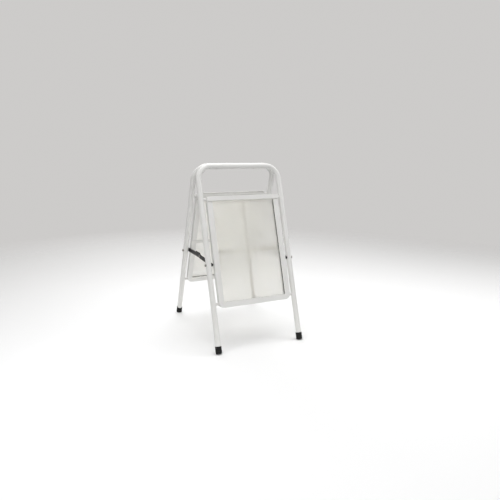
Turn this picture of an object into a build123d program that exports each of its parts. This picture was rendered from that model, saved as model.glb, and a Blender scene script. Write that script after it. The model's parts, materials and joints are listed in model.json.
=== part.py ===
from build123d import *
import math
import os

# A folding A-frame pavement sign. Two bent tube leg frames each carry a framed panel.
# Barrel hinges under the top bars join the frames, and a folding stay on each side holds them open.
# Millimetres. X is the width, the front frame is at -Y, +Z is up, and the origin is on the floor
# at the middle of the four feet.

# Leg frames
tube_d = 22.0
tube_wall = 1.2
leg_spacing = 362.0  # between the two leg axes of one frame
bar_height = 703.0  # top bar axes above the floor
bar_spacing = 24.0  # between the two top bar axes
foot_spread = 511.0  # between the front and rear leg axes at the floor
bend_radius = 58.0  # of the tube's centre line

# Rubber feet
foot_height = 30.0  # top edge from the floor, along the leg
foot_end = 1.2  # square end of the cap from the floor, on the leg axis
foot_pad = 7.0  # end of the tube from the floor, on the leg axis
foot_base_d = 25.6
foot_top_d = 24.8
foot_fit = 0.05
foot_edge = 2.0  # round of the cap's lower edge
foot_lip = 0.5  # round of its top edge

# Panels: drop is measured down the leg from the top bar axis, out from the leg plane outwards
panel_width = 319.0
rail_face = 22.0  # face width of the channel
rail_wall = 1.5
rail_out = 12.0  # front face of the channel
rail_back = -8.0  # back face of the channel
corner_radius = 24.0  # outer radius of the lower corners
edge_radius = 1.5  # long edges of the rails
panel_bottom = 570.0
top_rail_top = 126.5
top_rail_face = 18.0
top_rail_proud = 2.5  # front wall, past the channel's front face
top_rail_edge = 1.0  # round of the front wall's long edges
top_rail_gap = 1.2  # above the ends of the channel

# Sheet and glazing strip
sheet_width = 297.0
sheet_height = 420.0
sheet_top = 136.5
sheet_thick = 2.0  # from the leg plane outwards
slot_before = 3.0  # slot of the channel, in front of the sheet
slot_behind = 2.5
strip_fit = 0.1  # strip inside the channel and between the lips of its slot

# Cross brace on the back of the panel
brace_width = 14.0
brace_thick = 1.5
brace_inset = 4.0  # ends of the brace from the panel's edges
brace_level = 352.5

# Standoffs between panel and legs
standoff_d = 10.0
upper_standoff = 135.5
lower_standoff = 553.0

# Barrel hinges, in the valley under the top bars
hinge_place = 95.0  # middle of each hinge from the centre of the width
knuckle_d = 8.0
knuckle_length = 14.0
knuckle_gap = 0.3  # between the knuckles of one hinge
knuckle_clear = 0.3  # between the knuckles and the top bars
web_thick = 3.0  # joins a knuckle to its own top bar
hinge_pin_d = 4.5
pin_head_d = 7.0
pin_head = 1.2
pin_round = 0.5

# Stays
stay_drop = 397.0  # leg pivots below the top bar axis, along the leg
stay_rise = 3.0  # lap rivet above the line of the leg pivots
link_width = 17.0
link_thick = 2.5
link_nose = 12.0  # width of the front links round their leg pivots
link_taper = 36.0  # from that pivot to the full width
link_heel = 8.0  # square end of the rear links past their leg pivots
link_corner = 2.5  # round of its corners
link_gap = 0.3  # between the lapped links
lap_plane = 166.15  # middle of that gap, from the centre of the width
shoulder_height = 13.0
shoulder_length = 62.0
shoulder_slope = 12.0
shoulder_round = 6.0
side_play = 0.2

# Stay bolts, washers, nuts and rivets
bolt_d = 6.0
bolt_hole_d = 6.2
pivot_fit = 0.05
head_d = 11.0
head_reach = 4.5  # past the outside of the tube
head_round = 1.2
washer_d = 11.0
nut_flats = 10.0
nut_height = 2.6
bolt_tail = 0.3  # past the nut
rivet_d = 5.0
rivet_head_d = 10.0
rivet_head = 0.9
rivet_round = 0.5

# Worked out from the values above
tube_r = tube_d / 2
leg_x = leg_spacing / 2
lean = math.degrees(math.atan2((foot_spread - bar_spacing) / 2, bar_height))
sin_lean = math.sin(math.radians(lean))
cos_lean = math.cos(math.radians(lean))
leg_length = bar_height / cos_lean
panel_x = panel_width / 2
window_x = panel_x - rail_face
top_rail_bottom = top_rail_top + top_rail_face
window_bottom = panel_bottom - rail_face
slot_back = -slot_behind
slot_front = sheet_thick + slot_before
channel_top = top_rail_bottom + top_rail_gap
hinge_reach = tube_r + knuckle_clear + knuckle_d / 2  # from a top bar axis to the hinge axis
hinge_drop = math.sqrt(hinge_reach**2 - (bar_spacing / 2) ** 2)
hinge_z = bar_height - hinge_drop
knuckle_pitch = knuckle_length + knuckle_gap
pivot_y = bar_spacing / 2 + stay_drop * sin_lean
pivot_z = bar_height - stay_drop * cos_lean
link_length = math.hypot(pivot_y, stay_rise)
front_link_x = lap_plane + link_gap / 2  # inner face of the front links
rear_link_x = lap_plane - link_gap / 2 - link_thick  # inner face of the rear links

# A frame is drawn in its leg plane, with its top bar axis on X and its front towards -Y
front_place = Location((0, -bar_spacing / 2, bar_height), (-lean, 0, 0))
rear_place = Location((0, 0, 0), (0, 0, 180)) * front_place


def slab(half_width, drop_from, drop_to, out_from, out_to):
    """A box of the leg plane, across the width, between two drops and two distances out."""
    size = (2 * half_width, out_to - out_from, drop_to - drop_from)
    centre = (0, -(out_from + out_to) / 2, -(drop_from + drop_to) / 2)
    return Pos(*centre) * Box(*size)


def rod(x_from, x_to, drop, radius):
    """A round rod along X at a drop in the leg plane."""
    middle = Pos((x_from + x_to) / 2, 0, -drop)
    return middle * Rot(0, 90, 0) * Cylinder(radius, abs(x_to - x_from))


def leg_bar(side):
    """The solid outside shape of one straight leg, for saddle cuts."""
    return Pos(side * leg_x, 0, -leg_length / 2) * Cylinder(tube_r, leg_length)


def panel_block(inset, drop_from, out_from, out_to):
    """A block of the panel's outline, set in from its sides and round lower corners."""
    bottom = panel_bottom - inset
    outline = Rectangle(panel_width - 2 * inset, bottom - drop_from)
    outline = Pos(0, -(drop_from + bottom) / 2) * outline
    outline = fillet(outline.vertices().sort_by(Axis.Y)[:2], corner_radius - inset)
    return extrude(Plane.XZ.offset(out_from) * outline, out_to - out_from)


def leg_tube():
    end = -(leg_length - foot_pad)
    corners = [(-leg_x, 0, end), (-leg_x, 0, 0), (leg_x, 0, 0), (leg_x, 0, end)]
    path = FilletPolyline(*corners, radius=bend_radius)
    ring = Circle(tube_r) - Circle(tube_r - tube_wall)
    tube = sweep(Plane(origin=corners[0], z_dir=(0, 0, 1)) * ring, path=path)
    return tube - rod(-2 * leg_x, 2 * leg_x, stay_drop, bolt_hole_d / 2)


def rail_section():
    """The slotted profile: x runs from the outer edge inwards about the middle, y outwards."""
    edge = rail_face / 2
    wall = edge - rail_wall
    outline = [
        (-edge, rail_back),
        (edge, rail_back),
        (edge, slot_back),
        (wall, slot_back),
        (wall, rail_back + rail_wall),
        (-wall, rail_back + rail_wall),
        (-wall, rail_out - rail_wall),
        (wall, rail_out - rail_wall),
        (wall, slot_front),
        (edge, slot_front),
        (edge, rail_out),
        (-edge, rail_out),
    ]
    face = make_face(Polyline(*outline, close=True))
    ends = (rail_back, rail_out)
    corners = [v for v in face.vertices() if any(abs(v.Y - e) < 0.01 for e in ends)]
    return fillet(corners, edge_radius)


def panel_channel():
    side = panel_x - rail_face / 2
    bottom = -(panel_bottom - rail_face / 2)
    top = -channel_top
    corners = [(-side, 0, top), (-side, 0, bottom), (side, 0, bottom), (side, 0, top)]
    path = FilletPolyline(*corners, radius=corner_radius - rail_face / 2)
    start = Plane(origin=corners[0], x_dir=(1, 0, 0), z_dir=(0, 0, -1))
    return sweep(start * rail_section(), path=path)


def top_rail():
    """Two walls joined at their ends: the sheet slides in between them from above."""
    front = rail_out + top_rail_proud
    rail = slab(panel_x, top_rail_top, top_rail_bottom, rail_back, front)
    rail = fillet(rail.edges().filter_by(Axis.Z), edge_radius)
    face = rail.faces().sort_by(Axis.Y)[0]
    rail = fillet(face.edges().filter_by(Axis.X), top_rail_edge)
    back = rail_back + rail_wall
    return rail - slab(panel_x - rail_wall, top_rail_top, top_rail_bottom, back, rail_out)


def sheet():
    return slab(sheet_width / 2, sheet_top, sheet_top + sheet_height, 0, sheet_thick)


def glazing_strip():
    """A U of packing round the sheet's sides and bottom, flush with the mouth of the channel's slot."""
    packing = panel_block(rail_wall + strip_fit, channel_top, slot_back + strip_fit, slot_front - strip_fit)
    return packing - slab(window_x, top_rail_top, window_bottom, slot_back, slot_front) - sheet()


def level_brace():
    top = brace_level - brace_width / 2
    return slab(panel_x - brace_inset, top, top + brace_width, rail_back - brace_thick, rail_back)


def upright_brace():
    """Two bars, above and below the level one."""
    top = top_rail_top + brace_inset
    level_top = brace_level - brace_width / 2
    level_bottom = brace_level + brace_width / 2
    spans = ((top, level_top), (level_bottom, panel_bottom - brace_inset))
    back = rail_back - brace_thick
    return Compound(children=[slab(brace_width / 2, *span, back, rail_back) for span in spans])


def standoffs():
    """Four short posts, cut to the panel's outline at one end and saddle-cut on the leg."""
    posts = []
    panel = panel_block(0, top_rail_top, rail_back, rail_out)
    for side in (-1, 1):
        for drop in (upper_standoff, lower_standoff):
            post = rod(side * window_x, side * leg_x, drop, standoff_d / 2)
            posts.append(post - panel - leg_bar(side))
    return Compound(children=posts)


def foot(side, place):
    """A square-ended rubber cap on the leg, cut flat where its inner edge meets the floor."""
    bore = tube_r + foot_fit
    profile = [
        (0, foot_end),
        (foot_base_d / 2, foot_end),
        (foot_top_d / 2, foot_height),
        (bore, foot_height),
        (bore, foot_pad),
        (0, foot_pad),
    ]
    half = make_face(Polyline(*profile, close=True))
    half = fillet(half.vertices().sort_by(Axis.X)[-1], foot_edge)
    half = fillet(half.vertices().group_by(Axis.Y)[-1].sort_by(Axis.X)[-1], foot_lip)
    cap = place * Pos(side * leg_x, 0, -leg_length) * revolve(Plane.XZ * half, Axis.Z)
    below = Pos(0, 0, -foot_height) * Box(2 * foot_spread, 2 * foot_spread, 2 * foot_height)
    return cap - below


def stay_bolts(link_x):
    """Through each leg: saddle head outside, shank past the link's nut inside."""
    bolts = []
    tail = link_x - side_play - nut_height - bolt_tail
    outside = leg_x + tube_r + head_reach
    for side in (-1, 1):
        head = rod(side * leg_x, side * outside, stay_drop, head_d / 2)
        rim = head.edges().sort_by(Axis.X)[-1 if side > 0 else 0]
        head = fillet(rim, head_round) - leg_bar(side)
        shank = rod(side * tail, side * (outside - head_reach / 2), stay_drop, bolt_d / 2)
        bolts.append(head + shank)
    return Compound(children=bolts)


def stay_washers(link_x):
    """Saddle washers between the leg and the link."""
    washers = []
    seat = link_x + link_thick + side_play
    for side in (-1, 1):
        washer = rod(side * seat, side * leg_x, stay_drop, washer_d / 2) - leg_bar(side)
        washers.append(washer - rod(side * seat, side * leg_x, stay_drop, bolt_d / 2))
    return Compound(children=washers)


def stay_nuts(link_x):
    nuts = []
    outer = link_x - side_play
    hexagon = RegularPolygon(nut_flats / 2, 6, major_radius=False) - Circle(bolt_d / 2)
    for side in (-1, 1):
        face = Plane(origin=(side * outer, 0, -stay_drop), z_dir=(-side, 0, 0))
        nuts.append(extrude(face * hexagon, nut_height))
    return Compound(children=nuts)


def hinge_knuckle(end, middle):
    """A barrel on the hinge axis with a web to its own top bar, front (-1) or rear (1)."""
    bar = Pos(end * bar_spacing / 2, hinge_drop)
    rise = math.degrees(math.atan2(hinge_drop, end * bar_spacing / 2))
    web = Rot(0, 0, rise) * Pos(hinge_reach / 2, 0) * Rectangle(hinge_reach, web_thick)
    shape = Circle(knuckle_d / 2) + web - bar * Circle(tube_r)
    shape -= Circle(hinge_pin_d / 2 + pivot_fit)
    start = (middle - knuckle_length / 2, 0, hinge_z)
    return extrude(Plane(origin=start, x_dir=(0, 1, 0), z_dir=(1, 0, 0)) * shape, knuckle_length)


def hinge_knuckles(end):
    """Each hinge has two front knuckles, with a rear one between them."""
    steps = (0,) if end > 0 else (-knuckle_pitch, knuckle_pitch)
    places = [side * hinge_place + step for side in (-1, 1) for step in steps]
    return Compound(children=[hinge_knuckle(end, place) for place in places])


def hinge_pins():
    """A pin through each hinge, with a low rivet head at either end."""
    reach = knuckle_pitch + knuckle_length / 2
    pins = []
    for side in (-1, 1):
        middle = Pos(side * hinge_place, 0, hinge_z) * Rot(0, 90, 0)
        pin = Cylinder(hinge_pin_d / 2, 2 * reach)
        for end in (-1, 1):
            head = Pos(0, 0, end * (reach + pin_head / 2)) * Cylinder(pin_head_d / 2, pin_head)
            rim = head.edges().sort_by(Axis.Z)[-1 if end > 0 else 0]
            pin += fillet(rim, pin_round)
        pins.append(middle * pin)
    return Compound(children=pins)


def drilled(bar):
    """A link's outline with its holes: the leg pivot at the origin, the lap rivet along x."""
    return bar - Circle(bolt_d / 2 + pivot_fit) - Pos(link_length, 0) * Circle(rivet_d / 2)


def tapered_bar():
    """A bar with a narrow nose round its leg pivot and a round end at the lap."""
    shoulder = Pos(link_taper, 0) * Circle(link_width / 2)
    nose = make_hull((Circle(link_nose / 2) + shoulder).edges())
    body = Pos((link_taper + link_length) / 2, 0) * Rectangle(link_length - link_taper, link_width)
    return nose + body + Pos(link_length, 0) * Circle(link_width / 2)


def stop_bar():
    """A bar with a square heel, a round end at the lap and the raised stop shoulder beside it."""
    body = Pos((link_length - link_heel) / 2, 0) * Rectangle(link_length + link_heel, link_width)
    body = fillet(body.vertices().group_by(Axis.X)[0], link_corner)
    start = link_length - shoulder_length
    outline = [
        (start, 0),
        (start + shoulder_slope, shoulder_height),
        (link_length - shoulder_slope / 2, shoulder_height),
        (link_length + shoulder_slope / 2, 0),
    ]
    hump = make_face(Polyline(*outline, close=True))
    crest = [v for v in hump.vertices() if v.Y > shoulder_height / 2]
    return body + fillet(crest, shoulder_round) + Pos(link_length, 0) * Circle(link_width / 2)


def front_link(side):
    rise = stay_rise / link_length
    run = pivot_y / link_length
    inner = min(side * front_link_x, side * (front_link_x + link_thick))
    plane = Plane(origin=(inner, -pivot_y, pivot_z), x_dir=(0, run, rise), z_dir=(1, 0, 0))
    return extrude(plane * drilled(tapered_bar()), link_thick)


def rear_link(side):
    rise = stay_rise / link_length
    run = pivot_y / link_length
    outer = max(side * rear_link_x, side * (rear_link_x + link_thick))
    plane = Plane(origin=(outer, pivot_y, pivot_z), x_dir=(0, -run, rise), z_dir=(-1, 0, 0))
    return extrude(plane * drilled(stop_bar()), link_thick)


def lap_rivet(side, head_x, way):
    """Half of a lap rivet: a low head on a link's free face and the shank inside that link."""
    centre = Plane(origin=(side * head_x, 0, pivot_z + stay_rise), z_dir=(side * way, 0, 0))
    head = extrude(centre * Circle(rivet_head_d / 2), rivet_head)
    rim = head.faces().sort_by(Axis.X)[-1 if side * way > 0 else 0].edges()
    return fillet(rim, rivet_round) + extrude(centre * Circle(rivet_d / 2), -link_thick)


def frame_parts(name, place, link_x):
    """Every piece of one leg frame, under names that start with the frame's own."""
    pieces = {
        "leg_tube": leg_tube(),
        "panel_channel": panel_channel(),
        "top_rail": top_rail(),
        "sheet": sheet(),
        "glazing_strip": glazing_strip(),
        "upright_brace": upright_brace(),
        "level_brace": level_brace(),
        "panel_standoffs": standoffs(),
        "stay_bolts": stay_bolts(link_x),
        "stay_washers": stay_washers(link_x),
        "stay_nuts": stay_nuts(link_x),
    }
    parts = {f"{name}_{piece}": place * shape for piece, shape in pieces.items()}
    for hand, side in (("left", -1), ("right", 1)):
        turned = side if name == "front" else -side
        parts[f"{name}_{hand}_foot"] = foot(turned, place)
    return parts


def hinge_parts():
    return {
        "front_hinge_knuckles": hinge_knuckles(-1),
        "rear_hinge_knuckles": hinge_knuckles(1),
        "hinge_pins": hinge_pins(),
    }


def stay_parts():
    parts = {}
    for hand, side in (("left", -1), ("right", 1)):
        parts[f"{hand}_front_link"] = front_link(side)
        parts[f"{hand}_rear_link"] = rear_link(side)
        parts[f"{hand}_lap_rivet_outer"] = lap_rivet(side, front_link_x + link_thick, 1)
        parts[f"{hand}_lap_rivet_inner"] = lap_rivet(side, rear_link_x, -1)
    return parts


os.makedirs("parts", exist_ok=True)
sign = frame_parts("front", front_place, front_link_x)
sign.update(frame_parts("rear", rear_place, rear_link_x))
sign.update(hinge_parts())
sign.update(stay_parts())
for node, shape in sign.items():
    export_step(shape, f"parts/{node}.step")
print(f"lean {lean:.3f} degrees, hinge axis at z {hinge_z:.2f}")
print(f"leg pivots at y {pivot_y:.2f} and z {pivot_z:.2f}")
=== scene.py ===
import json
import math
import bmesh
import bpy
from mathutils import Matrix, Vector


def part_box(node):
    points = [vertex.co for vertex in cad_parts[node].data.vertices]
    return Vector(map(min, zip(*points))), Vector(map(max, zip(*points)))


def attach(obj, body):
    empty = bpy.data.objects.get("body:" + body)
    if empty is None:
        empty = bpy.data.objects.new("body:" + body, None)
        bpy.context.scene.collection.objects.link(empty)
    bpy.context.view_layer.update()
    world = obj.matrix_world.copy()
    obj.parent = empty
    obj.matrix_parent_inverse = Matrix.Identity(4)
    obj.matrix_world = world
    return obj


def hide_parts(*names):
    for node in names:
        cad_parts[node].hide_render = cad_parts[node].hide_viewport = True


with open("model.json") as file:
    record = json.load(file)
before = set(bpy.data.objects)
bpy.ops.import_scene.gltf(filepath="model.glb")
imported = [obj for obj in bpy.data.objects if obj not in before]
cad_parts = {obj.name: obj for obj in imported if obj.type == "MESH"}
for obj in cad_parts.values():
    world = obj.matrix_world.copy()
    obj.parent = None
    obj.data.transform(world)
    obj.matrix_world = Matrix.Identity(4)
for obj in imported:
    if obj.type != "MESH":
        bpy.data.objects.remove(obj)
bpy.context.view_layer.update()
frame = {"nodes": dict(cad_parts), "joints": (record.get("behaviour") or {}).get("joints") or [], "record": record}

scene = bpy.context.scene
nodes = frame["nodes"]
print("frame loaded,", len(nodes), "nodes")


# small helpers for node trees

def addNode(tree, kind, **values):
    node = tree.nodes.new(kind)
    for name, value in values.items():
        setattr(node, name, value)
    return node


def setInputs(node, **values):
    for name, value in values.items():
        node.inputs[name.replace("_", " ")].default_value = value
    return node


def wire(tree, *pairs):
    for source, target in pairs:
        tree.links.new(source, target)


def feed(tree, value, socket):  # value is a number, a colour or another node's output
    if isinstance(value, (int, float)):
        socket.default_value = value
    elif isinstance(value, tuple):
        socket.default_value = (*value, 1.0)
    else:
        wire(tree, (value, socket))


def mathNode(tree, operation, first, second):
    node = addNode(tree, "ShaderNodeMath", operation=operation)
    feed(tree, first, node.inputs[0])
    feed(tree, second, node.inputs[1])
    return node.outputs[0]


def noiseAt(tree, place, scale, detail, roughness):
    noise = addNode(tree, "ShaderNodeTexNoise")
    setInputs(noise, Detail=detail, Roughness=roughness)
    feed(tree, scale, noise.inputs["Scale"])
    wire(tree, (place, noise.inputs["Vector"]))
    return noise.outputs["Fac"]


def spread(tree, value, fromLow, fromHigh, toLow=0.0, toHigh=1.0):
    span = addNode(tree, "ShaderNodeMapRange", clamp=True)
    for socket, number in zip(span.inputs[1:5], (fromLow, fromHigh, toLow, toHigh)):
        socket.default_value = number
    wire(tree, (value, span.inputs[0]))
    return span.outputs[0]


def mixColour(tree, mask, first, second):
    mix = addNode(tree, "ShaderNodeMix", data_type="RGBA")
    wire(tree, (mask, mix.inputs["Factor"]))
    feed(tree, first, mix.inputs[6])
    feed(tree, second, mix.inputs[7])
    return mix.outputs[2]


def newGroup(name, inputs, outputs):
    group = bpy.data.node_groups.new(name, "ShaderNodeTree")
    for label, start in inputs.items():
        socket = group.interface.new_socket(label, in_out="INPUT", socket_type="NodeSocketFloat")
        socket.default_value = start
    for label in outputs:
        group.interface.new_socket(label, in_out="OUTPUT", socket_type="NodeSocketFloat")
    return group, addNode(group, "NodeGroupInput"), addNode(group, "NodeGroupOutput")


def useGroup(tree, group, values):
    return setInputs(addNode(tree, "ShaderNodeGroup", node_tree=group), **values)


# effects that several finishes share; a noise is its scale, detail and roughness, or the last two

peelEffect = {"start": {"Cell": 700.0, "Grain": 4200.0}, "cellNoise": (1.0, 0.4),
              "grainNoise": (1.0, 0.5), "grainShare": 0.25, "mottle": (9.0, 4.0, 0.6)}


def makePeel():
    effect = peelEffect
    group, given, made = newGroup("coatPeel", effect["start"], ["Height", "Mottle"])
    place = addNode(group, "ShaderNodeTexCoord").outputs["Object"]
    peel = noiseAt(group, place, given.outputs["Cell"], *effect["cellNoise"])
    grain = noiseAt(group, place, given.outputs["Grain"], *effect["grainNoise"])
    height = mathNode(group, "ADD", peel, mathNode(group, "MULTIPLY", grain, effect["grainShare"]))
    mottle = noiseAt(group, place, *effect["mottle"])
    wire(group, (height, made.inputs["Height"]), (mottle, made.inputs["Mottle"]))
    return group


rubEffect = {"start": {"Radius": 0.0008, "Patch": 60.0}, "samples": 4, "edgeSpan": (0.98, 0.80),
             "patchNoise": (5.0, 0.65), "patchSpan": (0.45, 0.62)}


def makeRub():  # the edges that hands and floors rub
    effect = rubEffect
    group, given, made = newGroup("edgeRub", effect["start"], ["Mask"])
    place = addNode(group, "ShaderNodeTexCoord").outputs["Object"]
    soft = addNode(group, "ShaderNodeBevel", samples=effect["samples"])
    facing = addNode(group, "ShaderNodeNewGeometry")
    dot = addNode(group, "ShaderNodeVectorMath", operation="DOT_PRODUCT")
    wire(group, (given.outputs["Radius"], soft.inputs["Radius"]),
         (soft.outputs["Normal"], dot.inputs[0]), (facing.outputs["Normal"], dot.inputs[1]))
    edge = spread(group, dot.outputs["Value"], *effect["edgeSpan"])
    patch = noiseAt(group, place, given.outputs["Patch"], *effect["patchNoise"])
    worn = spread(group, patch, *effect["patchSpan"])
    wire(group, (mathNode(group, "MULTIPLY", edge, worn), made.inputs["Mask"]))
    return group


dustEffect = {"start": {"Splash": 0.10, "Top": 0.4}, "upSpan": (0.3, 1.0), "specks": (55.0, 7.0, 0.7),
              "speckSpan": (0.48, 0.70)}


def makeDust():  # settles on what faces up, and splashes up from the floor
    effect = dustEffect
    group, given, made = newGroup("dustFall", effect["start"], ["Mask"])
    place = addNode(group, "ShaderNodeTexCoord").outputs["Object"]
    axes = addNode(group, "ShaderNodeSeparateXYZ")
    facing = addNode(group, "ShaderNodeNewGeometry")
    up = addNode(group, "ShaderNodeSeparateXYZ")
    wire(group, (place, axes.inputs[0]), (facing.outputs["Normal"], up.inputs[0]))
    level = spread(group, up.outputs["Z"], *effect["upSpan"])
    settled = mathNode(group, "MULTIPLY", level, given.outputs["Top"])
    low = mathNode(group, "DIVIDE", axes.outputs["Z"], given.outputs["Splash"])
    splash = spread(group, low, 0.0, 1.0, 1.0, 0.0)
    specks = spread(group, noiseAt(group, place, *effect["specks"]), *effect["speckSpan"])
    both = mathNode(group, "MAXIMUM", settled, splash)
    wire(group, (mathNode(group, "MULTIPLY", both, specks), made.inputs["Mask"]))
    return group


coatPeel = makePeel()
edgeRub = makeRub()
dustFall = makeDust()
print("shared effects ready")


# finishes: peel, rub and fall are what the shared effects are given, bump is a strength and a distance

mottleSpan = {"tone": (0.35, 0.65), "gloss": (0.3, 0.7)}  # the stretch of the mottle that changes them


def newFinish(name):
    finish = bpy.data.materials.new(name)
    finish.use_nodes = True
    tree = finish.node_tree
    tree.nodes.clear()
    skin = addNode(tree, "ShaderNodeBsdfPrincipled")
    out = addNode(tree, "ShaderNodeOutputMaterial")
    wire(tree, (skin.outputs[0], out.inputs["Surface"]))
    return finish, tree, skin


def twoTones(tree, peel, first, second, span=mottleSpan["tone"]):
    return mixColour(tree, spread(tree, peel.outputs["Mottle"], *span), first, second)


def mottledGloss(tree, peel, gloss):
    return spread(tree, peel.outputs["Mottle"], *mottleSpan["gloss"], *gloss)


def shareOf(tree, mask, share):
    return mathNode(tree, "MULTIPLY", mask, share)


def bumpFrom(tree, peel, skin, strength, distance):
    bump = addNode(tree, "ShaderNodeBump")
    setInputs(bump, Strength=strength, Distance=distance)
    wire(tree, (peel.outputs["Height"], bump.inputs["Height"]),
         (bump.outputs["Normal"], skin.inputs["Normal"]))


whiteCoatLook = {
    "fresh": (0.79, 0.785, 0.77), "aged": (0.755, 0.75, 0.73), "gloss": (0.38, 0.50),
    "bump": (0.25, 0.0003), "rubbed": (0.60, 0.60, 0.59), "rubShare": 0.35,
    "dust": (0.52, 0.50, 0.46), "dustShare": 0.22,
    "peel": {"Cell": 620.0, "Grain": 3800.0}, "rub": {"Radius": 0.0009, "Patch": 70.0},
    "fall": {"Splash": 0.09, "Top": 0.25}}


def whiteCoat():
    look = whiteCoatLook
    finish, tree, skin = newFinish("whiteCoat")
    peel = useGroup(tree, coatPeel, look["peel"])
    rub = useGroup(tree, edgeRub, look["rub"])
    dust = useGroup(tree, dustFall, look["fall"])
    coat = twoTones(tree, peel, look["fresh"], look["aged"])
    coat = mixColour(tree, shareOf(tree, rub.outputs["Mask"], look["rubShare"]), coat, look["rubbed"])
    coat = mixColour(tree, shareOf(tree, dust.outputs["Mask"], look["dustShare"]), coat, look["dust"])
    rough = mottledGloss(tree, peel, look["gloss"])
    wire(tree, (coat, skin.inputs["Base Color"]), (rough, skin.inputs["Roughness"]))
    bumpFrom(tree, peel, skin, *look["bump"])
    return finish


# rough all through, so that only what lies close behind the sheet shows in it
opalLook = {
    "clear": (0.905, 0.90, 0.865), "milky": (0.905, 0.895, 0.855), "gloss": (0.46, 0.51),
    "bump": (0.06, 0.0002), "through": 0.83, "bend": 1.49, "milk": 1.0, "scatter": (1.0, 1.0, 0.95),
    "depth": 0.008, "dust": (0.55, 0.54, 0.50), "dustShare": 0.12,
    "peel": {"Cell": 160.0, "Grain": 2600.0}, "fall": {"Splash": 0.05, "Top": 0.3}}


def opalSheet():
    look = opalLook
    finish, tree, skin = newFinish("opalSheet")
    peel = useGroup(tree, coatPeel, look["peel"])
    dust = useGroup(tree, dustFall, look["fall"])
    body = twoTones(tree, peel, look["clear"], look["milky"])
    body = mixColour(tree, shareOf(tree, dust.outputs["Mask"], look["dustShare"]), body, look["dust"])
    rough = mottledGloss(tree, peel, look["gloss"])
    wire(tree, (body, skin.inputs["Base Color"]), (rough, skin.inputs["Roughness"]))
    setInputs(skin, Transmission_Weight=look["through"], IOR=look["bend"], Subsurface_Weight=look["milk"],
              Subsurface_Radius=look["scatter"], Subsurface_Scale=look["depth"])
    bumpFrom(tree, peel, skin, *look["bump"])
    return finish


rubberLook = {
    "clean": (0.008, 0.008, 0.008), "bloom": (0.014, 0.014, 0.013), "bloomSpan": (0.35, 0.7),
    "gloss": (0.58, 0.76), "shine": 0.18, "bump": (0.35, 0.0003),
    "dust": (0.11, 0.105, 0.095), "dustShare": 0.35,
    "peel": {"Cell": 1500.0, "Grain": 6000.0}, "rub": {"Radius": 0.0007, "Patch": 120.0},
    "fall": {"Splash": 0.022, "Top": 0.5}}


def blackRubber():
    look = rubberLook
    finish, tree, skin = newFinish("blackRubber")
    peel = useGroup(tree, coatPeel, look["peel"])
    rub = useGroup(tree, edgeRub, look["rub"])
    dust = useGroup(tree, dustFall, look["fall"])
    body = twoTones(tree, peel, look["clean"], look["bloom"], look["bloomSpan"])
    scuffed = mathNode(tree, "MAXIMUM", rub.outputs["Mask"], dust.outputs["Mask"])
    body = mixColour(tree, shareOf(tree, scuffed, look["dustShare"]), body, look["dust"])
    rough = mottledGloss(tree, peel, look["gloss"])
    wire(tree, (body, skin.inputs["Base Color"]), (rough, skin.inputs["Roughness"]))
    setInputs(skin, Specular_IOR_Level=look["shine"])
    bumpFrom(tree, peel, skin, *look["bump"])
    return finish


blackCoatLook = {
    "fresh": (0.009, 0.009, 0.010), "worn": (0.017, 0.017, 0.018), "gloss": (0.36, 0.50), "shine": 0.18,
    "bump": (0.2, 0.0003), "bare": (0.24, 0.24, 0.25), "bareShare": 0.35,
    "peel": {"Cell": 900.0, "Grain": 4800.0}, "rub": {"Radius": 0.0006, "Patch": 150.0}}


def blackCoat():
    look = blackCoatLook
    finish, tree, skin = newFinish("blackCoat")
    peel = useGroup(tree, coatPeel, look["peel"])
    rub = useGroup(tree, edgeRub, look["rub"])
    coat = twoTones(tree, peel, look["fresh"], look["worn"])
    bare = shareOf(tree, rub.outputs["Mask"], look["bareShare"])
    coat = mixColour(tree, bare, coat, look["bare"])
    rough = mottledGloss(tree, peel, look["gloss"])
    wire(tree, (coat, skin.inputs["Base Color"]), (bare, skin.inputs["Metallic"]),
         (rough, skin.inputs["Roughness"]))
    setInputs(skin, Specular_IOR_Level=look["shine"])
    bumpFrom(tree, peel, skin, *look["bump"])
    return finish


zincLook = {
    "plate": (0.27, 0.265, 0.25), "tint": (0.23, 0.22, 0.195), "grainSpan": (0.4, 0.8),
    "gloss": (0.26, 0.42), "bump": (0.1, 0.0002), "stain": (0.13, 0.125, 0.115), "stainShare": 0.5,
    "peel": {"Cell": 300.0, "Grain": 5200.0}, "rub": {"Radius": 0.0005, "Patch": 200.0}}


def zincPlate():
    look = zincLook
    finish, tree, skin = newFinish("zincPlate")
    peel = useGroup(tree, coatPeel, look["peel"])
    rub = useGroup(tree, edgeRub, look["rub"])
    metal = twoTones(tree, peel, look["plate"], look["tint"])
    metal = mixColour(tree, shareOf(tree, rub.outputs["Mask"], look["stainShare"]), metal, look["stain"])
    rough = spread(tree, peel.outputs["Height"], *look["grainSpan"], *look["gloss"])
    wire(tree, (metal, skin.inputs["Base Color"]), (rough, skin.inputs["Roughness"]))
    setInputs(skin, Metallic=1.0)
    bumpFrom(tree, peel, skin, *look["bump"])
    return finish


finishes = {"white_coat": whiteCoat(), "opal_sheet": opalSheet(), "black_rubber": blackRubber(),
            "black_steel": blackCoat(), "zinc": zincPlate()}
slotOf = {part["node"]: part["material_slot"] for part in frame["record"]["subparts"]}
for name, node in nodes.items():
    node.data.materials.clear()
    node.data.materials.append(finishes[slotOf[name]])
print("finishes on every node")


# modelling helpers

closeness = {"cut": 0.000001, "merge": 0.000005}  # how near counts as the same place


def clearPick():
    if bpy.context.object and bpy.context.object.mode != "OBJECT":
        bpy.ops.object.mode_set(mode="OBJECT")
    bpy.ops.object.select_all(action="DESELECT")


def takeUp(piece):
    clearPick()
    piece.select_set(True)
    bpy.context.view_layer.objects.active = piece


def edit(piece):
    takeUp(piece)
    bpy.ops.object.mode_set(mode="EDIT")


def named(name):
    piece = bpy.context.object
    piece.name = name
    piece.data.name = name
    return piece


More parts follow.
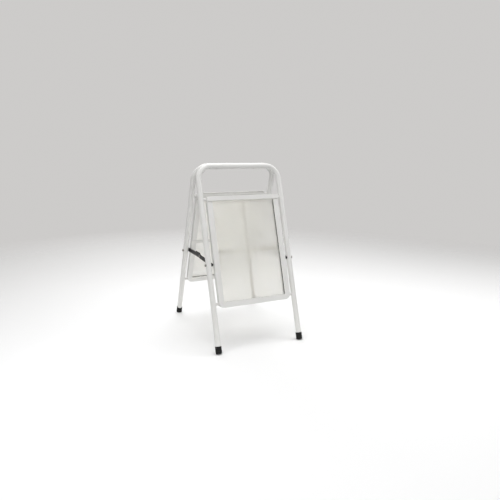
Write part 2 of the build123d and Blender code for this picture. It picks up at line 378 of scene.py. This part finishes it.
def twin(pattern, name):  # a copy with a mesh of its own
    takeUp(pattern)
    bpy.ops.object.duplicate(linked=False)
    return named(name)


def discard(*pieces):  # an object goes with its mesh
    clearPick()
    for piece in pieces:
        bpy.data.meshes.remove(piece.data)


def pick(piece, kind, test):  # kind is VERT or EDGE, and test is asked about each one
    bpy.ops.mesh.select_mode(type=kind)
    bpy.ops.mesh.select_all(action="DESELECT")
    mesh = bmesh.from_edit_mesh(piece.data)
    for item in {"VERT": mesh.verts, "EDGE": mesh.edges}[kind]:
        item.select_set(bool(test(item)))
    mesh.select_flush_mode()
    bmesh.update_edit_mesh(piece.data)


def sliceAt(point, normal, **options):
    bpy.ops.mesh.select_all(action="SELECT")
    bpy.ops.mesh.bisect(plane_co=point, plane_no=normal, threshold=closeness["cut"], **options)


def applyModifier(piece, kind, **values):
    takeUp(piece)
    modifier = piece.modifiers.new(kind.lower(), kind)
    for name, value in values.items():
        setattr(modifier, name, value)
    bpy.ops.object.modifier_apply(modifier=modifier.name)


def cutBy(piece, cutter, operation="DIFFERENCE"):
    applyModifier(piece, "BOOLEAN", object=cutter, operation=operation, solver="EXACT")
    discard(cutter)


def growBy(piece, other):
    cutBy(piece, other, operation="UNION")


def blockAt(name, size, middle):  # left in edit mode, all selected
    clearPick()
    bpy.ops.mesh.primitive_cube_add(size=1.0)
    block = named(name)
    bpy.ops.object.mode_set(mode="EDIT")
    bpy.ops.transform.resize(value=size, center_override=(0, 0, 0))
    bpy.ops.transform.translate(value=middle)
    return block


def rodAt(radius, depth, middle=(0, 0, 0), sides=48, turn=(0, 0, 0)):
    clearPick()
    bpy.ops.mesh.primitive_cylinder_add(
        vertices=sides, radius=radius, depth=depth, location=middle, rotation=turn)
    return bpy.context.object


def softEdges(piece, width, segments=2, angle=40.0):
    applyModifier(piece, "BEVEL", width=width, segments=segments, limit_method="ANGLE",
                  angle_limit=math.radians(angle), use_clamp_overlap=True)


def turned(name, outline, steps):  # an outline of radius and height, spun about Z
    clearPick()
    bpy.ops.mesh.primitive_plane_add(size=0.001)  # merged to the one point that the outline grows from
    piece = named(name)
    bpy.ops.object.mode_set(mode="EDIT")
    bpy.ops.mesh.select_mode(type="VERT")
    bpy.ops.mesh.merge(type="CENTER")
    bpy.ops.transform.translate(value=(outline[0][0], 0, outline[0][1]))
    for (radius, height), (nextRadius, nextHeight) in zip(outline, outline[1:]):
        bpy.ops.mesh.extrude_region_move(
            TRANSFORM_OT_translate={"value": (nextRadius - radius, 0, nextHeight - height)})
    bpy.ops.mesh.select_all(action="SELECT")
    bpy.ops.mesh.spin(steps=steps, angle=math.tau, center=(0, 0, 0), axis=(0, 0, 1))
    bpy.ops.mesh.select_all(action="SELECT")
    bpy.ops.mesh.remove_doubles(threshold=closeness["merge"])
    bpy.ops.mesh.normals_make_consistent(inside=False)
    bpy.ops.object.mode_set(mode="OBJECT")
    return piece


def arc(middle, radius, fromAngle, toAngle, count):  # points of a round, for an outline
    steps = [math.radians(fromAngle + (toAngle - fromAngle) * i / count) for i in range(count + 1)]
    return [(middle[0] + radius * math.cos(a), middle[1] + radius * math.sin(a)) for a in steps]


def lowDome(shape, base=0.0):  # points from the middle of a domed head to its rim, for an outline
    radii = [shape["head"] * step / shape["dome"] for step in range(shape["dome"] + 1)]
    rise = shape["rise"] - shape["rim"]
    return [(r, base + shape["rim"] + rise * (1 - (r / shape["head"]) ** 2)) for r in radii]


def settle(piece, place):  # to its place in the frame, and the place into the mesh
    takeUp(piece)
    piece.matrix_world = place
    bpy.ops.object.transform_apply(location=True, rotation=True, scale=True)


def dress(piece, slot, body, *replaced, smooth=35.0):
    takeUp(piece)
    bpy.ops.object.shade_smooth_by_angle(angle=math.radians(smooth))
    piece.data.materials.clear()
    piece.data.materials.append(finishes[slot])
    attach(piece, body)
    if replaced:
        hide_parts(*replaced)


def placeAt(origin, along, outward):  # x along a piece, z out of its face
    x = along.normalized()
    z = outward.normalized()
    turn = Matrix((x, z.cross(x), z)).transposed().to_4x4()
    return Matrix.Translation(origin) @ turn


# where the frames and their pivots are

legs = {"tubeRadius": 0.011, "barHeight": 0.703, "barSpacing": 0.024, "footSpread": 0.511, "x": 0.181}
lean = math.atan2((legs["footSpread"] - legs["barSpacing"]) / 2, legs["barHeight"])
hands = {"left": -1, "right": 1}
ends = {"front": -1, "rear": 1}
upright = Vector((0, 0, 1))
joints = {joint["name"]: joint for joint in frame["joints"]}


def upLeg(end):
    return Vector((0, -ends[end] * math.sin(lean), math.cos(lean)))


def framePlace(end):  # the leg plane: x across, -y out of the panel, -z down the leg from the top bar
    barMiddle = Matrix.Translation((0, -legs["barSpacing"] / 2, legs["barHeight"]))
    front = barMiddle @ Matrix.Rotation(-lean, 4, "X")
    return front if end == "front" else Matrix.Rotation(math.pi, 4, "Z") @ front


def pivotOf(hand, end):  # on the middle of the link
    return Vector(joints[f"{hand}_{end}_stay"]["pos_m"])


def middleOf(node):
    low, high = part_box(node)
    return (low + high) / 2


# rubber feet

footShape = {"bore": 0.01105, "pad": 0.007, "top": 0.030, "end": 0.0012, "base": 0.0128, "waist": 0.01245,
             "round": 0.0035, "roundSteps": 7, "bead": 0.0128, "beadFrom": 0.0262, "lip": 0.0007,
             "lipSteps": 4, "tread": 0.0008, "ribFrom": 0.0034, "ribTo": 0.0058, "landFrom": 0.0078,
             "draft": 0.0004, "steps": 72}


def footOutline():
    foot = footShape
    groove = foot["end"] + foot["tread"]
    draft = foot["draft"]
    rib = [(foot["ribFrom"] - draft, groove), (foot["ribFrom"], foot["end"]),
           (foot["ribTo"], foot["end"]), (foot["ribTo"] + draft, groove)]
    land = [(foot["landFrom"] - draft, groove), (foot["landFrom"], foot["end"])]
    heelMiddle = (foot["base"] - foot["round"], foot["end"] + foot["round"])
    heel = arc(heelMiddle, foot["round"], -90, 0, foot["roundSteps"])
    wall = [(foot["waist"], foot["beadFrom"]), (foot["bead"], foot["beadFrom"] + foot["lip"])]
    lipMiddle = (foot["bead"] - foot["lip"], foot["top"] - foot["lip"])
    lip = arc(lipMiddle, foot["lip"], 0, 90, foot["lipSteps"])
    bore = [(foot["bore"], foot["top"]), (foot["bore"], foot["pad"]), (0.0, foot["pad"])]
    return [(0.0, groove)] + rib + land + heel + wall + lip + bore


def makeFeet():
    pattern = turned("footPattern", footOutline(), footShape["steps"])
    for end, way in ends.items():
        for hand, side in hands.items():
            foot = twin(pattern, f"{end}{hand.title()}Foot")
            floorPoint = Vector((side * legs["x"], way * legs["footSpread"] / 2, 0))
            settle(foot, Matrix.Translation(floorPoint) @ Matrix.Rotation(way * lean, 4, "X"))
            edit(foot)
            sliceAt((0, 0, 0), (0, 0, 1), clear_inner=True, use_fill=True)  # flat on the floor
            dress(foot, "black_rubber", f"{end}_frame", f"{end}_{hand}_foot")
    discard(pattern)


# stay links, modelled with x from the leg pivot to the lap

linkShape = {"width": 0.017, "thick": 0.0025, "endShare": 0.998, "endSteps": 14,
             "nose": 0.012, "noseShare": 0.96, "noseSteps": 10, "taper": 0.036,
             "heel": 0.008, "heelRound": 0.0025, "crest": (0.050, 0.006), "crestFoot": (0.0542, 0.0018),
             "crestRise": 0.0045, "crestRound": 0.0026, "cornerSteps": 5, "near": 0.0004,
             "slack": 0.00001, "pivotHole": 0.00305, "rivetHole": 0.0025, "softEdge": 0.0004}


def roundCorners(blank, x, offset, segments, above=-1.0):  # the edges through the bar at x, over that y
    near = linkShape["near"]

    def atCorner(edge):
        one, other = (vert.co for vert in edge.verts)
        through = abs(one.y - other.y) < near
        return through and all(abs(co.x - x) < near and co.y > above for co in (one, other))

    pick(blank, "EDGE", atCorner)
    bpy.ops.mesh.bevel(offset=offset, offset_type="OFFSET", segments=segments, affect="EDGES")


def linkBlank(name, start, length):  # a flat bar from its leg end to the round end past the lap
    link = linkShape
    reach = length + link["width"] / 2
    blank = blockAt(name, (reach - start, link["width"], link["thick"]), ((reach + start) / 2, 0, 0))
    roundCorners(blank, reach, link["endShare"] * link["width"] / 2, link["endSteps"])
    return blank


def frontBlank(length):  # narrows to a nose round its leg pivot
    link = linkShape
    nose = link["nose"] / 2
    blank = linkBlank("frontLinkPattern", -nose, length)
    sliceAt((link["taper"], 0, 0), (1, 0, 0))
    pick(blank, "VERT", lambda vert: vert.co.x < link["taper"] / 2)
    bpy.ops.transform.resize(value=(1, link["nose"] / link["width"], 1), center_override=(0, 0, 0))
    roundCorners(blank, -nose, link["noseShare"] * nose, link["noseSteps"])
    return blank


def rearBlank(length):  # a square heel, and the stop's crest beside the lap
    link = linkShape
    top = link["width"] / 2
    slack = link["slack"]
    blank = linkBlank("rearLinkPattern", -link["heel"], length)
    roundCorners(blank, -link["heel"], link["heelRound"], link["cornerSteps"])
    for back in link["crest"] + link["crestFoot"]:
        sliceAt((length - back, 0, 0), (1, 0, 0))
    crestFrom, crestTo = (length - back for back in link["crest"])
    pick(blank, "VERT", lambda vert: vert.co.y > top - slack
         and crestFrom - slack < vert.co.x < crestTo + slack)
    bpy.ops.transform.translate(value=(0, link["crestRise"], 0))
    for x in (crestFrom, crestTo):
        roundCorners(blank, x, link["crestRound"], link["cornerSteps"], above=top)
    return blank


def linkRun(hand, end):  # from the leg pivot to the lap, in the plane that the link turns in
    run = middleOf(f"{hand}_lap_rivet_outer") - pivotOf(hand, end)
    return Vector((0, run.y, run.z))


def linkPattern(end):
    link = linkShape
    length = linkRun("left", end).length
    bar = frontBlank(length) if end == "front" else rearBlank(length)
    through = 4 * link["thick"]
    cutBy(bar, rodAt(link["pivotHole"], through))
    cutBy(bar, rodAt(link["rivetHole"], through, (length, 0, 0)))
    softEdges(bar, link["softEdge"])
    return bar


def makeLinks():
    patterns = {end: linkPattern(end) for end in ends}
    for hand in hands:
        for end, way in ends.items():
            bar = twin(patterns[end], f"{hand}{end.title()}Link")
            settle(bar, placeAt(pivotOf(hand, end), linkRun(hand, end), Vector((-way, 0, 0))))
            dress(bar, "black_steel", f"{hand}_{end}_link", f"{hand}_{end}_link")
    discard(*patterns.values())


# lap rivets, with low domed heads

rivetShape = {"head": 0.005, "rise": 0.0009, "rim": 0.0003, "shank": 0.0025, "dome": 6, "steps": 40}


def makeRivets():
    rivet = rivetShape
    thick = linkShape["thick"]
    shank = [(rivet["head"], 0.0), (rivet["shank"], 0.0), (rivet["shank"], -thick), (0.0, -thick)]
    pattern = turned("rivetPattern", lowDome(rivet) + shank, rivet["steps"])
    for hand, side in hands.items():
        for half, end, way in (("outer", "front", 1), ("inner", "rear", -1)):
            lap = middleOf(f"{hand}_lap_rivet_{half}")
            outward = Vector((side * way, 0, 0))
            face = Vector((pivotOf(hand, end).x, lap.y, lap.z)) + outward * thick / 2
            head = twin(pattern, f"{hand}{half.title()}Rivet")
            settle(head, placeAt(face, upright, outward))
            dress(head, "zinc", f"{hand}_{end}_link", f"{hand}_lap_rivet_{half}")
    discard(pattern)


# stay bolts, with button heads that sit on the tube, and their nuts

boltShape = {"head": 0.0055, "reach": 0.0155, "flat": 0.0029, "domeSteps": 7, "seat": 0.009,
             "saddleLength": 0.04, "saddleSides": 128, "socket": 0.0023, "socketDepth": 0.0021,
             "shank": 0.003, "neck": 0.013, "tail": 0.0003, "tip": 0.0005, "steps": 48}
nutShape = {"flats": 0.010, "height": 0.0026, "chamfer": 0.0007, "bore": 0.00302, "play": 0.0002,
            "sides": 60, "smooth": 25.0}


def nutFace(end):  # how far in from the leg's axis the nut begins
    inner = abs(pivotOf("left", end).x) - linkShape["thick"] / 2
    return legs["x"] - inner + nutShape["play"]


def boltPattern(end):  # z runs out from the leg's axis, x up the leg
    bolt = boltShape
    curve = bolt["head"] - bolt["flat"]
    dome = arc((bolt["flat"], bolt["reach"] - curve), curve, 90, 0, bolt["domeSteps"])
    outline = [(0.0, bolt["reach"])] + dome + [(bolt["head"], bolt["seat"]), (0.0, bolt["seat"])]
    head = turned(f"{end}BoltPattern", outline, bolt["steps"])
    cutBy(head, rodAt(legs["tubeRadius"], bolt["saddleLength"], sides=bolt["saddleSides"],
                      turn=(0, math.pi / 2, 0)))
    socketMiddle = bolt["reach"] - bolt["socketDepth"] + bolt["reach"] / 2
    cutBy(head, rodAt(bolt["socket"], bolt["reach"], (0, 0, socketMiddle), sides=6))
    tail = nutFace(end) + nutShape["height"] + bolt["tail"]
    tip = [(bolt["shank"], bolt["tip"] - tail), (bolt["shank"] - bolt["tip"], -tail), (0.0, -tail)]
    neck = [(0.0, bolt["neck"]), (bolt["shank"], bolt["neck"])]
    growBy(head, turned("shank", neck + tip, bolt["steps"]))
    return head


def nutPattern():
    nut = nutShape
    corner = nut["flats"] / 2 / math.cos(math.pi / 6)
    blank = rodAt(corner, nut["height"], sides=nut["sides"])
    edit(blank)
    pick(blank, "EDGE", lambda edge: abs(edge.verts[0].co.z - edge.verts[1].co.z) < nut["chamfer"])
    bpy.ops.mesh.bevel(offset=nut["chamfer"], segments=1, affect="EDGES")
    for flat in range(6):
        angle = (flat + 0.5) * math.pi / 3
        normal = Vector((math.cos(angle), math.sin(angle), 0))
        sliceAt(normal * nut["flats"] / 2, normal, clear_outer=True, use_fill=True)
    cutBy(blank, rodAt(nut["bore"], 3 * nut["height"]))
    return blank


def makeBolts():
    nutMould = nutPattern()
    for end in ends:
        boltMould = boltPattern(end)
        for hand, side in hands.items():
            pivot = pivotOf(hand, end)
            outward = Vector((side, 0, 0))
            axis = Vector((side * legs["x"], pivot.y, pivot.z))
            bolt = twin(boltMould, f"{end}{hand.title()}Bolt")
            settle(bolt, placeAt(axis, upLeg(end), outward))
            dress(bolt, "zinc", f"{end}_frame", f"{end}_stay_bolts")
            nut = twin(nutMould, f"{end}{hand.title()}Nut")
            nutMiddle = axis - outward * (nutFace(end) + nutShape["height"] / 2)
            settle(nut, placeAt(nutMiddle, upLeg(end), outward))
            dress(nut, "black_steel", f"{end}_frame", f"{end}_stay_nuts", smooth=nutShape["smooth"])
        discard(boltMould)
    discard(nutMould)


# cross bars on the back of each panel

barShape = {"width": 0.014, "thick": 0.0015, "back": 0.008, "level": 0.3525, "reach": 0.1555,
            "top": 0.1305, "bottom": 0.566, "softEdge": 0.0004, "edgeSteps": 3}


def barPattern(name, width, dropFrom, dropTo):
    bar = barShape
    size = (width, bar["thick"], dropTo - dropFrom)
    flat = blockAt(name, size, (0, bar["back"] + bar["thick"] / 2, -(dropFrom + dropTo) / 2))
    bpy.ops.mesh.bevel(offset=bar["softEdge"], segments=bar["edgeSteps"], affect="EDGES")
    return flat


def makeBars():
    bar = barShape
    levelFrom = bar["level"] - bar["width"] / 2
    levelTo = bar["level"] + bar["width"] / 2
    spans = {"LevelBar": (2 * bar["reach"], levelFrom, levelTo),
             "UpperBar": (bar["width"], bar["top"], levelFrom),
             "LowerBar": (bar["width"], levelTo, bar["bottom"])}
    braceOf = {"LevelBar": "level_brace", "UpperBar": "upright_brace", "LowerBar": "upright_brace"}
    patterns = {name: barPattern(name, *span) for name, span in spans.items()}
    for end in ends:
        for name, pattern in patterns.items():
            flat = twin(pattern, end + name)
            settle(flat, framePlace(end))
            dress(flat, "white_coat", f"{end}_frame", f"{end}_{braceOf[name]}")
    discard(*patterns.values())


# weld beads round the posts between panel and legs, and at the ends of the cross bars

weldShape = {"ring": 0.0056, "thick": 0.0012, "ripples": 40, "ripple": 0.00022, "sides": 10,
             "run": 0.0011, "runShare": 0.9, "cuts": 9, "endZone": 0.49, "endShrink": 0.55,
             "behind": 0.0003, "smooth": 60.0,
             "postDrops": (0.1355, 0.553), "postFrom": (0.1600, 0.1590), "postTo": 0.1695}


def weldRing(name, seat):  # seat is the radius of the tube that the bead lies on, or 0 on a flat side
    weld = weldShape
    clearPick()
    bpy.ops.mesh.primitive_torus_add(
        major_segments=weld["ripples"], minor_segments=weld["sides"], major_radius=weld["ring"],
        minor_radius=weld["thick"], rotation=(0, math.pi / 2, 0))
    ring = named(name)
    bpy.ops.object.transform_apply(rotation=True)
    step = math.tau / weld["ripples"]
    edit(ring)
    pick(ring, "VERT", lambda vert: round(math.atan2(vert.co.y, vert.co.z) / step) % 2 == 0)
    bpy.ops.transform.shrink_fatten(value=weld["ripple"])
    clearPick()
    if seat:  # bend it over the round of the leg
        for vert in ring.data.vertices:
            vert.co.x += seat - math.sqrt(seat**2 - vert.co.y**2)
    applyModifier(ring, "SUBSURF", levels=1, render_levels=1)
    return ring


def weldRun(name):  # a short straight bead along z
    weld = weldShape
    length = weld["runShare"] * barShape["width"]
    clearPick()
    bpy.ops.mesh.primitive_cylinder_add(
        vertices=weld["sides"], radius=weld["run"], depth=length, end_fill_type="TRIFAN")
    run = named(name)
    pitch = length / (weld["cuts"] + 1)
    edit(run)
    pick(run, "EDGE", lambda edge: abs(edge.verts[0].co.z - edge.verts[1].co.z) > length / 2)
    bpy.ops.mesh.subdivide(number_cuts=weld["cuts"])
    pick(run, "VERT", lambda vert: round((vert.co.z + length / 2) / pitch) % 2 == 1)
    bpy.ops.transform.shrink_fatten(value=weld["ripple"])
    pick(run, "VERT", lambda vert: abs(vert.co.z) > weld["endZone"] * length)
    bpy.ops.transform.resize(value=(weld["endShrink"], weld["endShrink"], 1), center_override=(0, 0, 0))
    clearPick()
    applyModifier(run, "SUBSURF", levels=1, render_levels=1)
    return run


def weldPattern():  # all the beads of one frame, in its leg plane
    weld = weldShape
    bar = barShape
    ring = weldRing("ringPattern", 0.0)
    saddle = weldRing("saddlePattern", legs["tubeRadius"])
    run = weldRun("runPattern")
    back = bar["back"] + weld["behind"]
    across = Matrix.Rotation(math.pi / 2, 4, "Y")
    places = []
    for side in hands.values():
        outward = Matrix.Rotation(0.0 if side > 0 else math.pi, 4, "Z")
        for drop, postFrom in zip(weld["postDrops"], weld["postFrom"]):
            places.append((ring, Matrix.Translation((side * postFrom, 0, -drop))))
            places.append((saddle, Matrix.Translation((side * weld["postTo"], 0, -drop)) @ outward))
        places.append((run, Matrix.Translation((side * bar["reach"], back, -bar["level"]))))
    for drop in (bar["top"], bar["bottom"]):
        places.append((run, Matrix.Translation((0, back, -drop)) @ across))
    beads = []
    for pattern, place in places:
        bead = twin(pattern, "bead")
        settle(bead, place)
        beads.append(bead)
    clearPick()
    for bead in beads:
        bead.select_set(True)
    bpy.context.view_layer.objects.active = beads[0]
    bpy.ops.object.join()
    welds = named("weldPattern")
    discard(ring, saddle, run)
    return welds


def makeWelds():
    pattern = weldPattern()
    for end in ends:
        welds = twin(pattern, f"{end}Welds")
        settle(welds, framePlace(end))
        dress(welds, "white_coat", f"{end}_frame", smooth=weldShape["smooth"])
    discard(pattern)


# hinge pins with domed heads, each through three knuckles with gaps between them

pinShape = {"radius": 0.00225, "head": 0.0035, "rise": 0.0012, "rim": 0.0004, "dome": 5, "knuckle": 0.014,
            "gap": 0.0003, "steps": 36}


def makePins():
    pin = pinShape
    half = 1.5 * pin["knuckle"] + pin["gap"]
    top = lowDome(pin, half) + [(pin["head"], half), (pin["radius"], half)]
    pattern = turned("pinPattern", top + [(r, -z) for r, z in reversed(top)], pin["steps"])
    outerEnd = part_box("hinge_pins")[1].x
    hinge = Vector(joints["fold"]["pos_m"])
    for hand, side in hands.items():
        middle = Vector((side * (outerEnd - half - pin["rise"]), hinge.y, hinge.z))
        piece = twin(pattern, f"{hand}HingePin")
        settle(piece, placeAt(middle, upright, Vector((side, 0, 0))))
        dress(piece, "zinc", "front_frame", "hinge_pins")
    discard(pattern)


makeFeet()
makeLinks()
makeRivets()
makeBolts()
makeBars()
makeWelds()
makePins()
clearPick()
print("pieces modelled")


# floor, light and camera

floorSetup = {"middle": (0.0, -0.6, 0.0), "radius": 9.0, "sides": 96, "seen": (0.93, 0.93, 0.93),
              "bounce": (0.90, 0.90, 0.89), "dim": (0.20, 0.20, 0.20), "dimSpan": (0.35, 1.2),
              "fadeSpan": (1.05, 3.0)}


def seenRays(tree):  # what the camera sees, straight or by reflection or through the sheets
    path = addNode(tree, "ShaderNodeLightPath")
    rays = mathNode(tree, "MAXIMUM", path.outputs["Is Camera Ray"], path.outputs["Is Glossy Ray"])
    return mathNode(tree, "MAXIMUM", rays, path.outputs["Is Transmission Ray"])


def makeFloor():
    setup = floorSetup
    clearPick()
    bpy.ops.mesh.primitive_circle_add(
        vertices=setup["sides"], radius=setup["radius"], fill_type="NGON", location=setup["middle"])
    floor = named("studioFloor")
    finish = bpy.data.materials.new("paperFloor")
    finish.use_nodes = True
    tree = finish.node_tree
    tree.nodes.clear()
    matt = addNode(tree, "ShaderNodeBsdfDiffuse")
    clear = addNode(tree, "ShaderNodeBsdfTransparent")
    fade = addNode(tree, "ShaderNodeMixShader")
    out = addNode(tree, "ShaderNodeOutputMaterial")
    place = addNode(tree, "ShaderNodeTexCoord").outputs["Object"]
    reach = addNode(tree, "ShaderNodeVectorMath", operation="LENGTH")
    fromFeet = addNode(tree, "ShaderNodeVectorMath", operation="DISTANCE")
    fromFeet.inputs[1].default_value = -Vector(setup["middle"])
    wire(tree, (place, reach.inputs[0]), (place, fromFeet.inputs[0]))
    away = spread(tree, fromFeet.outputs["Value"], *setup["dimSpan"])
    bounce = mixColour(tree, away, setup["bounce"], setup["dim"])  # less light comes back from far off
    paper = mixColour(tree, seenRays(tree), bounce, setup["seen"])
    gone = spread(tree, reach.outputs["Value"], *setup["fadeSpan"])
    wire(tree, (paper, matt.inputs["Color"]), (gone, fade.inputs[0]), (matt.outputs[0], fade.inputs[1]),
         (clear.outputs[0], fade.inputs[2]), (fade.outputs[0], out.inputs["Surface"]))
    floor.data.materials.append(finish)


worldSetup = {"light": (1.0, 1.0, 1.0), "strength": 0.02, "seen": (0.61, 0.60, 0.59)}


def makeWorld():
    world = bpy.data.worlds.new("studioAir")
    scene.world = world
    world.use_nodes = True
    tree = world.node_tree
    tree.nodes.clear()
    lit = addNode(tree, "ShaderNodeBackground")
    seen = addNode(tree, "ShaderNodeBackground")
    setInputs(lit, Color=(*worldSetup["light"], 1.0), Strength=worldSetup["strength"])
    setInputs(seen, Color=(*worldSetup["seen"], 1.0), Strength=1.0)
    both = addNode(tree, "ShaderNodeMixShader")
    out = addNode(tree, "ShaderNodeOutputWorld")
    wire(tree, (seenRays(tree), both.inputs[0]), (lit.outputs[0], both.inputs[1]),
         (seen.outputs[0], both.inputs[2]), (both.outputs[0], out.inputs["Surface"]))


lampAim = (0.0, 0.0, 0.3)
lampSetup = {"overhead": {"place": (0.1, 0.2, 2.6), "size": 2.6, "power": 56.0},
             "leftFill": {"place": (-2.2, -0.6, 1.5), "size": 1.8, "power": 17.0},
             "frontFill": {"place": (-1.0, -2.6, 1.0), "size": 2.0, "power": 28.0},
             "backFill": {"place": (0.3, 2.6, 1.7), "size": 2.4, "power": 38.0},
             "rightFill": {"place": (2.2, -0.8, 1.5), "size": 1.8, "power": 27.0}}


def makeLamps():
    for name, lamp in lampSetup.items():
        aim = Vector(lampAim) - Vector(lamp["place"])
        turn = aim.to_track_quat("-Z", "Y").to_euler()
        bpy.ops.object.light_add(type="AREA", location=lamp["place"], rotation=turn)
        light = bpy.context.object
        light.name = name
        light.data.size = lamp["size"]
        light.data.energy = lamp["power"]


cameraSetup = {"place": (-0.8377, -1.8767, 0.8207), "turn": 25.735, "down": 13.051, "roll": 1.061,
               "lens": 35.062, "sensor": 36.0}


def makeCamera():
    look = cameraSetup
    turn = (math.radians(90 - look["down"]), 0, math.radians(-look["turn"]))
    bpy.ops.object.camera_add(location=look["place"], rotation=turn)
    camera = bpy.context.object
    level = camera.rotation_euler.to_matrix()
    camera.rotation_euler = (level @ Matrix.Rotation(math.radians(look["roll"]), 3, "Z")).to_euler()
    camera.data.lens = look["lens"]
    camera.data.sensor_width = look["sensor"]
    scene.camera = camera


makeFloor()
makeWorld()
makeLamps()
makeCamera()
scene.view_settings.view_transform = "Standard"
print("studio ready")
